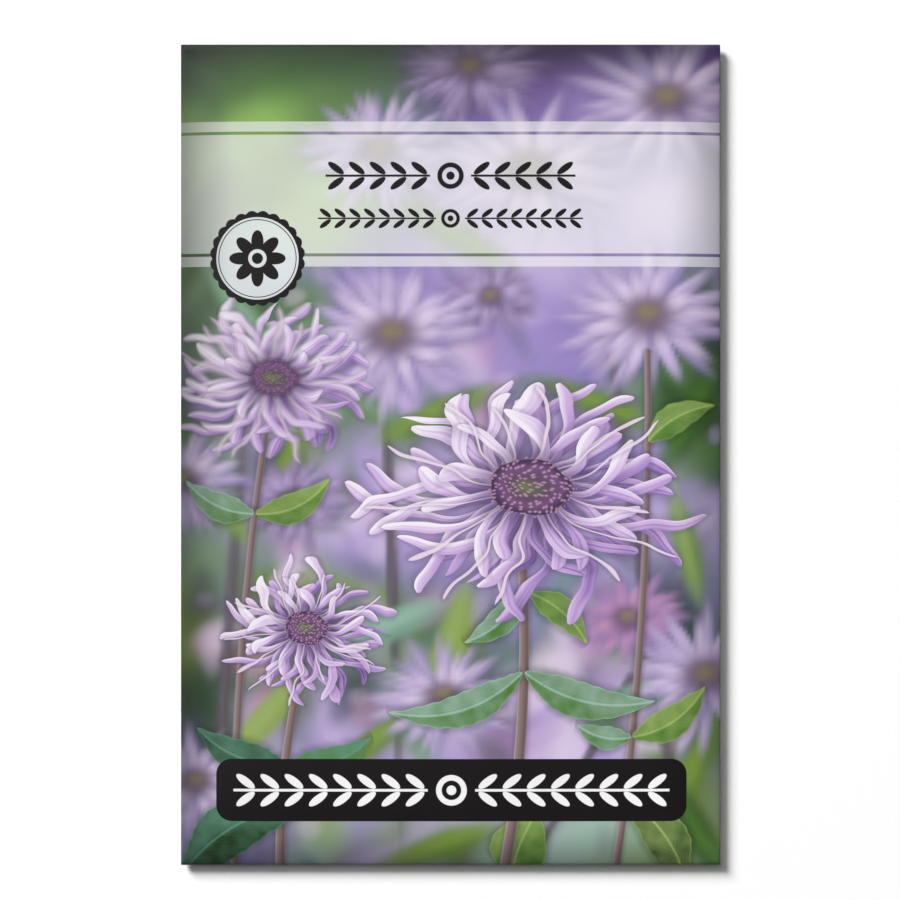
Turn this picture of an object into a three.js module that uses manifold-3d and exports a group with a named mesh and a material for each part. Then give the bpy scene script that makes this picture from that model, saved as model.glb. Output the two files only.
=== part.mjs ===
// A sealed paper seed packet, lying on its back.
//
// One sheet of coated paper is cut to a cross, printed and folded round:
// the front panel in the middle, the back panel on its left, a narrow seam tab on its right,
// and a short flap above and below. The back panel is glued over the tab, and the two flaps
// are folded over the back panel and glued to it. A spoonful of small seeds lies inside,
// gathered in the lower half.
//
// Millimetres. +X is the packet's right, +Y its top and +Z the way the front faces.
// The origin is on the surface that the packet lies on, under the middle of the packet.

import * as THREE from "three";
import { mergeVertices } from "three/addons/utils/BufferGeometryUtils.js";
import Module from "manifold-3d";

// Driving dimensions
const packetWidth = 82.5;
const packetHeight = 125.6;
const paper = 0.18; // thickness of the coated sheet
const layerPitch = 0.36; // from the middle of one layer of paper to the next, with glue between
const backFoldHeight = 1.0; // middle of the back panel's sheet above the surface, at its edges
const frontRise = 1.5; // how far the front swells above its edges
const frontShoulder = 16; // width of the rounded border of the front
const backShoulder = 9; // width of the rounded border of the back
const seedSwell = 0.35; // how much more the front rises over the seeds
const seedSwellReach = 2.2; // how far that goes, in times the size of the heap of seeds
const topFlapLength = 17;
const bottomFlapLength = 13;
const flapTaper = 5; // how much narrower a flap is at its free edge, on each side
const flapStep = 6; // length over which the back panel dips in to make room for a flap
const flapMargin = 1; // how far past a flap's free edge the back panel stays dipped in
const tabWidth = 9;
const tabTaper = 6;
const backEdgeInset = 0.4; // the back panel's free edge stops just short of the right fold

// Seeds, and the heap that they lie in
const seedLength = 1.9;
const seedWidth = 1.05;
const seedThickness = 0.9;
const seedCount = 115;
const seedSpread = 0.97; // how far out the seeds go, of the heap's size
const seedWander = 0.15; // how far a seed strays from its spiral, in radians
const seedTilt = 0.25; // steepest lean of a seed, in radians
const seedLift = 0.1; // height of a seed's middle over the heap that it is sunk in
const seedClearance = 0.05; // between the seeds and the paper
const heap = { x: 1.5, y: -31, alongX: 15, alongY: 10.5, height: 1.1, rimHeight: 0.3 };

// The front lies two layers above the back along the folds, with the tab between them,
// and the flaps lie one layer below the back.
const frontFoldHeight = backFoldHeight + 2 * layerPitch;
const bellyHeight = paper / 2; // middle of the back panel where it touches the surface

// A fold joins the front to a panel that lies some layers below it
const foldRadius = (layers) => (layers * layerPitch) / 2;
const folds = {
  left: { outwards: new THREE.Vector3(-1, 0, 0), layers: 2, panelHeight: backHeight },
  right: { outwards: new THREE.Vector3(1, 0, 0), layers: 1, panelHeight: tabHeight },
  bottom: { outwards: new THREE.Vector3(0, -1, 0), layers: 3, panelHeight: flapHeight },
  top: { outwards: new THREE.Vector3(0, 1, 0), layers: 3, panelHeight: flapHeight },
};

// The front panel ends where its folds begin, and the folds bring the packet to its full size
const front = {
  left: -packetWidth / 2 + foldRadius(folds.left.layers) + paper / 2,
  right: packetWidth / 2 - foldRadius(folds.right.layers) - paper / 2,
  bottom: -packetHeight / 2 + foldRadius(folds.bottom.layers) + paper / 2,
  top: packetHeight / 2 - foldRadius(folds.top.layers) - paper / 2,
};
const frontMiddleX = (front.left + front.right) / 2;

// Heights of the layers

// 0 on a panel's edge and 1 from the shoulder inwards, steepest at the edge
function shoulder(distance, width) {
  const rest = 1 - THREE.MathUtils.clamp(distance / width, 0, 1);
  return 1 - rest ** 3;
}

function swell(x, y, width) {
  const fromSides = Math.min(x - front.left, front.right - x);
  const fromEnds = Math.min(y - front.bottom, front.top - y);
  return shoulder(fromSides, width) * shoulder(fromEnds, width);
}

function frontHeight(x, y) {
  const away = Math.hypot((x - heap.x) / heap.alongX, (y - heap.y) / heap.alongY) / seedSwellReach;
  const overSeeds = seedSwell * Math.exp(-(away ** 2));
  return frontFoldHeight + (frontRise + overSeeds) * swell(x, y, frontShoulder);
}

// The back panel goes down to the belly, less one layer where a flap lies under it
function backHeight(x, y) {
  const pastTopFlap = front.top - topFlapLength - flapMargin - y;
  const pastBottomFlap = y - front.bottom - bottomFlapLength - flapMargin;
  const overFlap = 1 - THREE.MathUtils.smoothstep(Math.min(pastTopFlap, pastBottomFlap), 0, flapStep);
  const drop = backFoldHeight - bellyHeight - layerPitch * overFlap;
  return backFoldHeight - drop * swell(x, y, backShoulder);
}

function tabHeight(x, y) {
  return backHeight(x, y) + layerPitch;
}

function flapHeight(x, y) {
  return backHeight(x, y) - layerPitch;
}

// A sheet with a thickness. Panels and folds share the vertices where they meet, so a folded
// sheet is one surface. Its faces are listed with the printed side facing out.
class Sheet {
  constructor(thickness) {
    this.thickness = thickness;
    this.points = [];
    this.faces = [];
  }

  line(points) {
    return points.map((point) => this.points.push(point) - 1);
  }

  // Joins lines of vertices. Each line runs to the left of the way that the lines advance.
  join(lines) {
    for (let j = 1; j < lines.length; j++) {
      for (let i = 1; i < lines[j].length; i++) {
        const [a, b] = [lines[j - 1][i - 1], lines[j - 1][i]];
        const [c, d] = [lines[j][i], lines[j][i - 1]];
        this.faces.push([a, b, c], [a, c, d]);
      }
    }
  }

  normals() {
    const sums = this.points.map(() => new THREE.Vector3());
    for (const face of this.faces) {
      const [a, b, c] = face.map((k) => this.points[k]);
      const across = b.clone().sub(a).cross(c.clone().sub(a));
      face.forEach((k) => sums[k].add(across));
    }
    return sums.map((sum) => sum.normalize());
  }

  // The edges that only one face has, in that face's direction
  rim() {
    const edges = new Map();
    for (const [a, b, c] of this.faces) {
      for (const [from, to] of [[a, b], [b, c], [c, a]]) {
        if (!edges.delete(to + "," + from)) edges.set(from + "," + to, [from, to]);
      }
    }
    return [...edges.values()];
  }

  geometry() {
    const count = this.points.length;
    const normals = this.normals();
    const outer = this.points.map((p, k) => p.clone().addScaledVector(normals[k], this.thickness / 2));
    const inner = this.points.map((p, k) => p.clone().addScaledVector(normals[k], -this.thickness / 2));
    const index = [];
    for (const [a, b, c] of this.faces) index.push(a, b, c, c + count, b + count, a + count);
    for (const [a, b] of this.rim()) index.push(b, a, a + count, b, a + count, b + count);
    const geometry = new THREE.BufferGeometry().setFromPoints([...outer, ...inner]);
    geometry.setIndex(index);
    geometry.computeVertexNormals();
    return geometry;
  }
}

// The folded sheet

// Stations across a panel: close together along its borders, wide apart in the middle
function stations(low, high, borders, middleCount) {
  const start = low + borders.at(-1);
  const end = high - borders.at(-1);
  const middle = [];
  for (let k = 1; k < middleCount; k++) middle.push(THREE.MathUtils.lerp(start, end, k / middleCount));
  return [...borders.map((d) => low + d), ...middle, ...borders.map((d) => high - d).reverse()];
}

const shoulderStations = [0, 1, 2.4, 4.4, 6.8, 9.5, 13, 17];
const columns = stations(front.left, front.right, shoulderStations, 4);
const flapStations = [...shoulderStations, 19, 21.5, 24];
const rows = stations(front.bottom, front.top, flapStations, 6);
const foldSteps = 5;

// Stations from a fold to a free edge, in step with those of the panel that it lies on
function stationsTo(length, borders) {
  return [...borders.filter((d) => d > 0 && d < length), length];
}

// How steeply a panel comes to its edge, taken over the last stretch before it
function edgeAngle(height, x, y, outwards) {
  const reach = 0.5;
  const inside = height(x - reach * outwards.x, y - reach * outwards.y);
  return Math.atan(Math.abs(inside - height(x, y)) / reach);
}

// The arc of a fold at a place on the front's edge. It leaves the front at one angle, meets
// the panel below at another, and always reaches equally far out.
function foldArc({ outwards, layers, panelHeight }, x, y) {
  const upper = edgeAngle(frontHeight, x, y, outwards);
  const lower = edgeAngle(panelHeight, x, y, outwards);
  const radius = (layers * layerPitch) / (Math.cos(upper) + Math.cos(lower));
  const centre = new THREE.Vector3(x, y, frontFoldHeight - radius * Math.cos(upper));
  centre.addScaledVector(outwards, foldRadius(layers) - radius);
  return (share) => {
    const turn = THREE.MathUtils.lerp(upper, Math.PI - lower, share);
    const point = centre.clone().addScaledVector(outwards, radius * Math.sin(turn));
    point.z += radius * Math.cos(turn);
    return point;
  };
}

function frontPoint(x, y) {
  if (y === front.top) return foldArc(folds.top, x, y)(0);
  if (y === front.bottom) return foldArc(folds.bottom, x, y)(0);
  if (x === front.left) return foldArc(folds.left, x, y)(0);
  if (x === front.right) return foldArc(folds.right, x, y)(0);
  return new THREE.Vector3(x, y, frontHeight(x, y));
}

function envelopeGeometry() {
  const sheet = new Sheet(paper);
  const frontLines = rows.map((y) => sheet.line(columns.map((x) => frontPoint(x, y))));
  sheet.join(frontLines);

  // The lines of a fold, from the front's edge to the edge of the panel below
  function foldLines(fold, edgeLine, edgePlaces) {
    const arcs = edgePlaces.map(([x, y]) => foldArc(fold, x, y));
    const lines = [edgeLine];
    for (let s = 1; s <= foldSteps; s++) lines.push(sheet.line(arcs.map((arc) => arc(s / foldSteps))));
    return lines;
  }

  // The back panel, from the left fold to its free edge
  const leftEdge = frontLines.map((line) => line[0]);
  const leftLines = foldLines(folds.left, leftEdge, rows.map((y) => [front.left, y]));
  const backColumns = [...columns.slice(1, -1), front.right - backEdgeInset];
  const backLines = backColumns.map((x) =>
    sheet.line(rows.map((y) => new THREE.Vector3(x, y, backHeight(x, y)))),
  );
  sheet.join([...leftLines, ...backLines]);

  // The seam tab, inside the back panel
  const downwards = [...rows].reverse();
  const rightEdge = frontLines.map((line) => line.at(-1)).reverse();
  const rightLines = foldLines(folds.right, rightEdge, downwards.map((y) => [front.right, y]));
  const tabLines = stationsTo(tabWidth, shoulderStations).map((reach) => {
    const x = front.right - reach;
    const shrink = 1 - ((reach / tabWidth) * tabTaper) / front.top;
    return sheet.line(downwards.map((y) => new THREE.Vector3(x, y * shrink, tabHeight(x, y * shrink))));
  });
  sheet.join([...rightLines, ...tabLines]);

  // A flap, outside the back panel
  function addFlap(fold, edgeLine, edgePlaces, length) {
    const lines = foldLines(fold, edgeLine, edgePlaces);
    for (const reach of stationsTo(length, flapStations)) {
      const shrink = 1 - (Math.sqrt(reach / length) * flapTaper) / front.right;
      const points = edgePlaces.map(([edgeX, edgeY]) => {
        const x = frontMiddleX + (edgeX - frontMiddleX) * shrink;
        const y = edgeY - fold.outwards.y * reach;
        return new THREE.Vector3(x, y, flapHeight(x, y));
      });
      lines.push(sheet.line(points));
    }
    sheet.join(lines);
  }
  const topPlaces = columns.map((x) => [x, front.top]);
  const bottomPlaces = columns.map((x) => [x, front.bottom]).reverse();
  addFlap(folds.top, frontLines.at(-1), topPlaces, topFlapLength);
  addFlap(folds.bottom, [...frontLines[0]].reverse(), bottomPlaces, bottomFlapLength);
  return sheet.geometry();
}

// The glue between the layers: thin ribbons, a hair clear of the paper on both sides
const glueThickness = 0.06;
const glueInset = 2; // from a free edge of the paper
const seamGlueFromEnds = 12;
const glueFromFold = { seam: 3, topFlap: 7, bottomFlap: 4 };
const overBack = 1;
const underBack = -1;

// A ribbon half a layer over the back panel, or half a layer under it
function glueGeometry({ left, right, bottom, top }, side) {
  const sheet = new Sheet(glueThickness);
  const within = (values, low, high) => [low, ...values.filter((v) => v > low && v < high), high];
  const glueColumns = within(columns, left, right);
  const glueLines = within(rows, bottom, top).map((y) =>
    sheet.line(glueColumns.map((x) => new THREE.Vector3(x, y, backHeight(x, y) + side * layerPitch / 2))),
  );
  sheet.join(glueLines);
  return sheet.geometry();
}

const seamGlue = {
  left: front.right - tabWidth + glueInset,
  right: front.right - glueFromFold.seam,
  bottom: front.bottom + seamGlueFromEnds,
  top: front.top - seamGlueFromEnds,
};
const topFlapGlue = {
  left: front.left + flapTaper + glueInset,
  right: front.right - flapTaper - glueInset,
  bottom: front.top - topFlapLength + glueInset,
  top: front.top - glueFromFold.topFlap,
};
const bottomFlapGlue = {
  left: front.left + flapTaper + glueInset,
  right: front.right - flapTaper - glueInset,
  bottom: front.bottom + glueFromFold.bottomFlap,
  top: front.bottom + bottomFlapLength - glueInset,
};

// The seeds: a low heap whose top layer of seeds stands out of it one by one

// A steady stream of numbers from 0 to 1, the same on every run
function numberStream(start) {
  let state = start;
  return () => {
    state = (Math.imul(state, 1664525) + 1013904223) >>> 0;
    return state / 2 ** 32;
  };
}

const heapFloor = paper + seedClearance;

// Height of the heap's top, from its middle at 0 to its rim at 1
function heapTop(out) {
  return heapFloor + heap.rimHeight + (heap.height - heap.rimHeight) * (1 - out ** 2);
}

function heapGeometry() {
  const steps = 5;
  const sides = 32;
  const profile = [new THREE.Vector2(0, heapFloor), new THREE.Vector2(1, heapFloor)];
  for (let k = steps; k >= 0; k--) profile.push(new THREE.Vector2(k / steps, heapTop(k / steps)));
  const geometry = new THREE.LatheGeometry(profile, sides);
  geometry.rotateX(Math.PI / 2);
  geometry.scale(heap.alongX, heap.alongY, 1);
  geometry.translate(heap.x, heap.y, 0);
  return geometry;
}

// Seeds on a spiral that spaces them evenly, each turned its own way and half sunk in the heap
function seedGeometries() {
  const next = numberStream(7);
  const goldenAngle = Math.PI * (3 - Math.sqrt(5));
  const seeds = [];
  for (let k = 0; k < seedCount; k++) {
    const out = seedSpread * Math.sqrt((k + 0.5) / seedCount);
    const angle = k * goldenAngle + (2 * next() - 1) * seedWander;
    const seed = new THREE.IcosahedronGeometry(0.5, 0);
    seed.scale(seedLength, seedWidth, seedThickness);
    seed.rotateY((2 * next() - 1) * seedTilt);
    seed.rotateZ(next() * Math.PI);
    const x = heap.x + heap.alongX * out * Math.cos(angle);
    const y = heap.y + heap.alongY * out * Math.sin(angle);
    seed.translate(x, y, heapTop(out) + seedLift);
    seeds.push(seed);
  }
  return seeds;
}

async function seedsGeometry() {
  const wasm = await Module();
  wasm.setup();

  const solidOf = (geometry) => {
    const bare = geometry.clone();
    bare.deleteAttribute("normal");
    bare.deleteAttribute("uv");
    const merged = mergeVertices(bare, 1e-4);
    const vertProperties = merged.attributes.position.array;
    const triVerts = new Uint32Array(merged.index.array);
    return new wasm.Manifold(new wasm.Mesh({ numProp: 3, vertProperties, triVerts }));
  };
  const joined = wasm.Manifold.union([solidOf(heapGeometry()), ...seedGeometries().map(solidOf)]);

  // What would reach into the paper is cut off flat
  const groundSize = 4 * heap.alongX;
  const ground = new THREE.BoxGeometry(groundSize, groundSize, groundSize);
  ground.translate(heap.x, heap.y, heapFloor - groundSize / 2);
  const mesh = joined.subtract(solidOf(ground)).getMesh();
  const geometry = new THREE.BufferGeometry();
  geometry.setAttribute("position", new THREE.BufferAttribute(mesh.vertProperties, 3));
  geometry.setIndex(new THREE.BufferAttribute(mesh.triVerts, 1));
  geometry.computeVertexNormals();
  return geometry;
}

// The packet
const printedPaper = new THREE.MeshStandardMaterial({ color: 0x9b86b0, roughness: 0.5, metalness: 0 });
const driedGlue = new THREE.MeshStandardMaterial({ color: 0xe6dcc0, roughness: 0.4, metalness: 0 });
const seedCoat = new THREE.MeshStandardMaterial({ color: 0x5a4029, roughness: 0.6, metalness: 0 });

function piece(name, geometry, material) {
  const mesh = new THREE.Mesh(geometry, material);
  mesh.name = name;
  return mesh;
}

const packet = new THREE.Group();
packet.add(
  piece("envelope", envelopeGeometry(), printedPaper),
  piece("seam_glue", glueGeometry(seamGlue, overBack), driedGlue),
  piece("top_flap_glue", glueGeometry(topFlapGlue, underBack), driedGlue),
  piece("bottom_flap_glue", glueGeometry(bottomFlapGlue, underBack), driedGlue),
  piece("seeds", await seedsGeometry(), seedCoat),
);

export default packet;
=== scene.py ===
import math

import bpy
import numpy as np
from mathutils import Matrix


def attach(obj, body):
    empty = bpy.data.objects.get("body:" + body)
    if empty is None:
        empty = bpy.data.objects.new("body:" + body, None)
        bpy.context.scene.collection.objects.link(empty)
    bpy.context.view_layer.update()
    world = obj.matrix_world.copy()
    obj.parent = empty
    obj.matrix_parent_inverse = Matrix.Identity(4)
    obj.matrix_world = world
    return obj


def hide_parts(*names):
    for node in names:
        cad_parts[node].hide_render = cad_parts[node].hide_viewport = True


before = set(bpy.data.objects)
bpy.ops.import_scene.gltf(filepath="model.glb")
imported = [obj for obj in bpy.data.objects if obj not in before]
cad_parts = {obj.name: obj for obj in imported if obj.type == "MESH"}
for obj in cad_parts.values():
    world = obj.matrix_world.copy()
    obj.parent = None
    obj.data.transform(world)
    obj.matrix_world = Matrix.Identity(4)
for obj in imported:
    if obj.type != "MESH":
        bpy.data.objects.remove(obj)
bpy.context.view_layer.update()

# Where the packet is seen
# It lies on a plain white ground and is looked at from straight above. A wide soft lamp stands
# far off at its upper left, a weaker one hangs more nearly overhead, and a pale sky fills the
# shadows.
mm = 0.001
packet_width = 82.5
packet_height = 125.6
picture_px = 900
packet_width_px = 539.0
packet_centre_px = (450.5, 454.8)
mm_per_px = packet_width / packet_width_px
crown_height = 1.25
sky_strength = 0.13
ground_size = 3.0


def put(name, data):
    """An object in the scene, at its origin."""
    thing = bpy.data.objects.new(name, data)
    bpy.context.scene.collection.objects.link(thing)
    return thing


def new_finish(name, constants):
    """A material and its surface shader, with the constants set on the shader's own sockets."""
    finish = bpy.data.materials.new(name)
    finish.use_nodes = True
    surface = finish.node_tree.nodes["Principled BSDF"]
    for title, value in constants.items():
        surface.inputs[title].default_value = value
    return finish, surface


# The packet is widest at the height of its folds' crowns, so the scale is set there
camera_data = bpy.data.cameras.new("camera")
camera_data.lens = 100
camera_data.sensor_width = 36
camera_distance = picture_px * mm_per_px * camera_data.lens / camera_data.sensor_width
camera = put("camera", camera_data)
camera.location = (
    (picture_px / 2 - packet_centre_px[0]) * mm_per_px * mm,
    (packet_centre_px[1] - picture_px / 2) * mm_per_px * mm,
    (crown_height + camera_distance) * mm,
)
bpy.context.scene.camera = camera
bpy.context.scene.view_settings.view_transform = "Standard"

for name, size, energy, place in (
    ("soft_lamp", 1.86, 336, (-2.5, 2.8, 2.3)),
    ("overhead_lamp", 2.9, 31, (-1.35, 1.9, 3.3)),
):
    lamp_data = bpy.data.lights.new(name, "AREA")
    lamp_data.shape = "DISK"
    lamp_data.size = size
    lamp_data.energy = energy
    lamp = put(name, lamp_data)
    lamp.location = place
    lamp.rotation_euler = (-lamp.location).to_track_quat("-Z", "Y").to_euler()

sky = bpy.data.worlds.new("pale_sky")
sky.use_nodes = True
sky_light = sky.node_tree.nodes["Background"]
sky_light.inputs["Color"].default_value = (1.0, 1.0, 1.0, 1.0)
sky_light.inputs["Strength"].default_value = sky_strength
bpy.context.scene.world = sky

bpy.ops.mesh.primitive_plane_add(size=ground_size)
ground = bpy.context.object
ground.name = "white_ground"
ground_finish, _ = new_finish(
    "white_ground", {"Base Color": (0.9, 0.9, 0.9, 1.0), "Roughness": 0.9, "Specular IOR Level": 0.1}
)
ground.data.materials.append(ground_finish)

# The envelope
# One sheet of coated paper, cut to a cross and folded round: the front in the middle, the back
# on its left, a narrow tab on its right that the back is glued over, and a flap above and
# below, folded over the back and glued down. Sizes are in millimetres.
paper = 0.18
layer_pitch = 0.36
front_fold_height = 1.72
back_fold_height = front_fold_height - 2 * layer_pitch
belly_height = paper / 2
front_rise = 1.5
front_shoulder = 16
back_shoulder = 9
seed_swell = 0.35
seed_swell_reach = 2.2
dent_depth = 0.05
ripple_depth = 0.05
heap_x, heap_y = 1.5, -31
heap_along_x, heap_along_y = 15, 10.5
top_flap_length = 17
bottom_flap_length = 13
flap_taper = 5
flap_pitch = 1.6
flap_step = 6
flap_margin = 1
tab_width = 9
tab_steps = 8
tab_taper = 6
back_edge_inset = 0.4
back_column_step = 4
sharp_crease = 50

front_left = -packet_width / 2 + layer_pitch + paper / 2
front_right = packet_width / 2 - layer_pitch / 2 - paper / 2
front_bottom = -packet_height / 2 + 1.5 * layer_pitch + paper / 2
front_top = packet_height / 2 - 1.5 * layer_pitch - paper / 2
front_middle_x = (front_left + front_right) / 2
crown_half_width = packet_width / 2 - paper / 2
crown_half_height = packet_height / 2 - paper / 2
mitre_length = 3


def shoulder(distance, width):
    """0 on a panel's edge and 1 from the shoulder inwards, steepest at the edge."""
    return 1 - (1 - np.clip(distance / width, 0, 1)) ** 3


def swell(x, y, width):
    from_sides = np.minimum(x - front_left, front_right - x)
    from_ends = np.minimum(y - front_bottom, front_top - y)
    return shoulder(from_sides, width) * shoulder(from_ends, width)


def dents(x, y):
    """Slight dents from filling and handling, and ripples drawn by the glue along the ends."""
    wide = np.sin(x / 6.3 + 1.3 * np.sin(y / 11.0)) * np.sin(y / 8.1 + 0.9 * np.sin(x / 9.0) + 1.0)
    from_ends = np.minimum(y - front_bottom, front_top - y)
    ripples = np.sin(x / 2.3 + 0.7 * np.sin(x / 5.1)) * from_ends / 3 * np.exp(1 - from_ends / 3)
    return dent_depth * wide + ripple_depth * ripples


def front_height(x, y):
    away = np.hypot((x - heap_x) / heap_along_x, (y - heap_y) / heap_along_y) / seed_swell_reach
    over_seeds = seed_swell * np.exp(-(away**2))
    return front_fold_height + (front_rise + over_seeds + dents(x, y)) * swell(x, y, front_shoulder)


def back_height(x, y):
    """Down to the belly, less one layer where a flap lies under the back."""
    past_flaps = np.minimum(
        front_top - top_flap_length - flap_margin - y,
        y - front_bottom - bottom_flap_length - flap_margin,
    )
    step = np.clip(past_flaps / flap_step, 0, 1)
    over_flap = 1 - step * step * (3 - 2 * step)
    drop = back_fold_height - belly_height - layer_pitch * over_flap
    return back_fold_height - drop * swell(x, y, back_shoulder)


def tab_height(x, y):
    return back_height(x, y) + layer_pitch


def flap_height(x, y):
    return back_height(x, y) - layer_pitch


class Fold:
    """The bend from the front's edge to a panel some layers below it.

    It leaves the front at one angle, meets the panel below at another, and always reaches
    equally far out. Its length along the paper is that of a plain half turn. Near its ends it
    also spreads along the edge as it goes out, so that the folds meet in mitres at the corners.
    """

    steps = 8
    slope_reach = 0.5

    def __init__(self, outwards, layers, panel_height):
        self.outwards = np.array(outwards, float)
        self.layers = layers
        self.panel_height = panel_height
        self.reach = layers * layer_pitch / 2
        self.length = math.pi * self.reach

    def edge_angle(self, height, x, y):
        inside = height(x - self.slope_reach * self.outwards[0], y - self.slope_reach * self.outwards[1])
        return np.arctan(np.abs(inside - height(x, y)) / self.slope_reach)

    def at(self, share, x, y):
        """Places on the fold, beyond the places x, y of the front's edge."""
        upper = self.edge_angle(front_height, x, y)
        lower = self.edge_angle(self.panel_height, x, y)
        radius = self.layers * layer_pitch / (np.cos(upper) + np.cos(lower))
        turn = upper + share * (math.pi - lower - upper)
        out = self.reach - radius + radius * np.sin(turn)
        rise = front_fold_height + radius * (np.cos(turn) - np.cos(upper))
        share_out = out / self.reach
        share_x, share_y = share_out * abs(self.outwards[1]), share_out * abs(self.outwards[0])
        spread_x = share_x * self.spread(x, front_left, front_right, crown_half_width)
        spread_y = share_y * self.spread(y, front_bottom, front_top, crown_half_height)
        out_x, out_y = out * self.outwards[0], out * self.outwards[1]
        return np.stack([x + out_x + spread_x, y + out_y + spread_y, rise], -1)

    def spread(self, place, low, high, crown):
        """How far a place near a corner moves along the edge where the fold is fully out."""
        ends = (low, low + mitre_length, high - mitre_length, high)
        return np.interp(place, ends, (-crown, *ends[1:3], crown)) - place


folds = {
    "left": Fold((-1, 0), 2, back_height),
    "right": Fold((1, 0), 1, tab_height),
    "bottom": Fold((0, -1), 3, flap_height),
    "top": Fold((0, 1), 3, flap_height),
}


class Sheet:
    """Panels that share the points where they meet. Each point also has its place on the flat
    sheet before folding, with the front's own millimetres as the sheet's."""

    def __init__(self):
        self.points = []
        self.flat = []
        self.quads = []
        self.finishes = []
        self.count = 0

    def line(self, x, y, z, flat_x, flat_y):
        """A line of points. A coordinate may be one number for the whole line."""
        line = np.stack(np.broadcast_arrays(x, y, z, flat_x, flat_y), -1)
        self.points.append(line[:, :3])
        self.flat.append(line[:, 3:])
        self.count += len(line)
        return np.arange(self.count - len(line), self.count)

    def join(self, lines, finish):
        """Each line runs to the left of the way that the lines advance."""
        grid = np.stack(lines)
        corners = [grid[:-1, :-1], grid[:-1, 1:], grid[1:, 1:], grid[1:, :-1]]
        quads = np.stack(corners, -1).reshape(-1, 4)
        self.quads.append(quads)
        self.finishes.append(np.full(len(quads), finish))


border = 9
station_pitch = 0.62


def stations(low, high):
    """Places across a panel, evenly spaced within its borders and within its middle."""
    near = np.linspace(low, low + border, round(border / station_pitch) + 1)
    middle_count = round((high - low - 2 * border) / station_pitch) + 1
    middle = np.linspace(low + border, high - border, middle_count)
    return np.concatenate([near, middle[1:-1], high + low - near[::-1]])


front_finish, back_finish, bare_finish, above_finish = 0, 1, 2, 3
flowers_top = 28
columns = stations(front_left, front_right)
rows = stations(front_bottom, front_top)
sheet = Sheet()


def front_line(y):
    if y in (front_bottom, front_top):
        places = folds["top" if y == front_top else "bottom"].at(0, columns, y)
    else:
        places = np.stack([columns, np.full_like(columns, y), front_height(columns, y)], -1)
        places[0] = folds["left"].at(0, front_left, y)
        places[-1] = folds["right"].at(0, front_right, y)
    return sheet.line(*places.T, columns, y)


front_lines = [front_line(y) for y in rows]
sheet.join(front_lines, front_finish)
front_grid = np.stack(front_lines)


def fold_over(fold, edge_line, x, y):
    """Bends the sheet over an edge of the front, and gives the line where the next panel starts."""
    lines = [edge_line]
    for step in range(1, fold.steps + 1):
        share = step / fold.steps
        flat_x, flat_y = share * fold.length * fold.outwards
        lines.append(sheet.line(*fold.at(share, x, y).T, x + flat_x, y + flat_y))
    sheet.join(lines, front_finish)
    return lines[-1]


# The back, from the left fold to its free edge
left = folds["left"]
back_lines = [fold_over(left, front_grid[:, 0], front_left, rows)]
for x in np.append(columns[1:-1:back_column_step], front_right - back_edge_inset):
    back_lines.append(sheet.line(x, rows, back_height(x, rows), 2 * front_left - left.length - x, rows))
sheet.join(back_lines, back_finish)

# The tab, inside the back
right = folds["right"]
downwards = rows[::-1]
tab_lines = [fold_over(right, front_grid[::-1, -1], front_right, downwards)]
for reach in np.linspace(0, tab_width, tab_steps + 1)[1:]:
    x = front_right - reach
    y = downwards * (1 - reach / tab_width * tab_taper / front_top)
    tab_lines.append(sheet.line(x, y, tab_height(x, y), front_right + right.length + reach, y))
sheet.join(tab_lines, bare_finish)


def add_flap(fold, edge_line, x, y, length):
    """A flap outside the back, narrower at its free edge."""
    flap_lines = [fold_over(fold, edge_line, x, y)]
    for reach in np.linspace(0, length, round(length / flap_pitch) + 1)[1:]:
        narrower = 1 - math.sqrt(reach / length) * flap_taper / front_right
        flap_x = front_middle_x + (x - front_middle_x) * narrower
        flap_y = y - fold.outwards[1] * reach
        flat_y = y + fold.outwards[1] * (fold.length + reach)
        flap_lines.append(sheet.line(flap_x, flap_y, flap_height(flap_x, flap_y), flap_x, flat_y))
    sheet.join(flap_lines, back_finish)


add_flap(folds["top"], front_grid[-1], columns, front_top, top_flap_length)
add_flap(folds["bottom"], front_grid[0, ::-1], columns[::-1], front_bottom, bottom_flap_length)


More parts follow.
